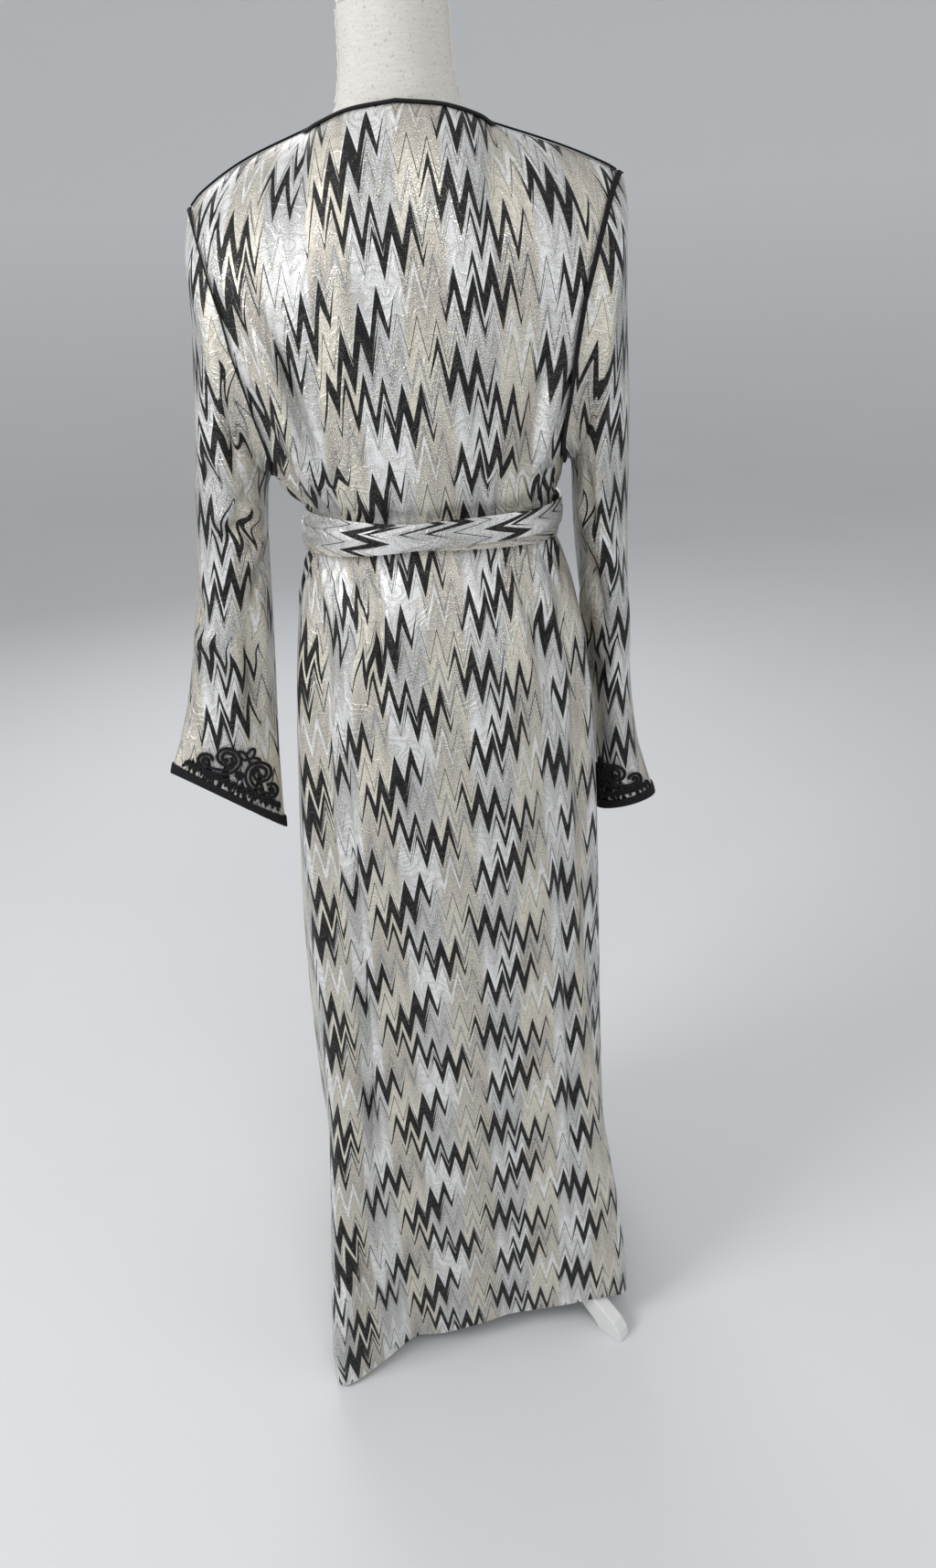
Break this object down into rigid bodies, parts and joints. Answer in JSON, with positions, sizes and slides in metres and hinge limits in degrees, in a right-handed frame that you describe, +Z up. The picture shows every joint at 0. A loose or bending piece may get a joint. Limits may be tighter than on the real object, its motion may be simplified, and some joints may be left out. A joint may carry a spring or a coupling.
{
  "type": "moroccan kaftan on a limbless dress form with a four-legged stand",
  "caption": "Long-sleeved belted kaftan with braided edges and embroidered cuffs, worn by a limbless linen dress form on a wooden stand.",
  "frame": {"origin": "middle of the footprint, on the floor under the feet of the stand", "axes": "+Z up, the garment's front towards -Y and its back towards +Y, the wearer's left towards +X"},
  "size_m": [0.5781, 0.4475, 1.6023],
  "materials": {
    "cloth": "silky jacquard with a metallic thread, printed in zigzags of black, grey, silver and cream",
    "braid": "matt black braid and cord",
    "linen": "flecked off-white linen",
    "paint": "white paint, satin"
  },
  "bodies": {
    "root": {"armhole_cord_left": "braid", "armhole_cord_right": "braid", "back": "cloth", "belt_end_left": "cloth", "belt_end_right": "cloth", "belt_first_turn": "cloth", "belt_knot": "cloth", "belt_second_turn": "cloth", "cuff_band_left": "braid", "cuff_band_right": "braid", "cuff_dot_left": "braid", "cuff_dot_right": "braid", "cuff_flower_left": "braid", "cuff_flower_right": "braid", "cuff_scallops_left": "braid", "cuff_scallops_right": "braid", "cuff_scroll_inner_left": "braid", "cuff_scroll_inner_right": "braid", "cuff_scroll_outer_left": "braid", "cuff_scroll_outer_right": "braid", "dress_form": "linen", "front_left": "cloth", "front_left_braid": "braid", "front_right": "cloth", "front_right_braid": "braid", "hub": "paint", "leg_back_left": "paint", "leg_back_right": "paint", "leg_front_left": "paint", "leg_front_right": "paint", "neck_braid": "braid", "neck_cap": "paint", "pole": "paint", "shoulder_cord_left": "braid", "shoulder_cord_right": "braid", "sleeve_left": "cloth", "sleeve_right": "cloth"}
  },
  "joints": []
}
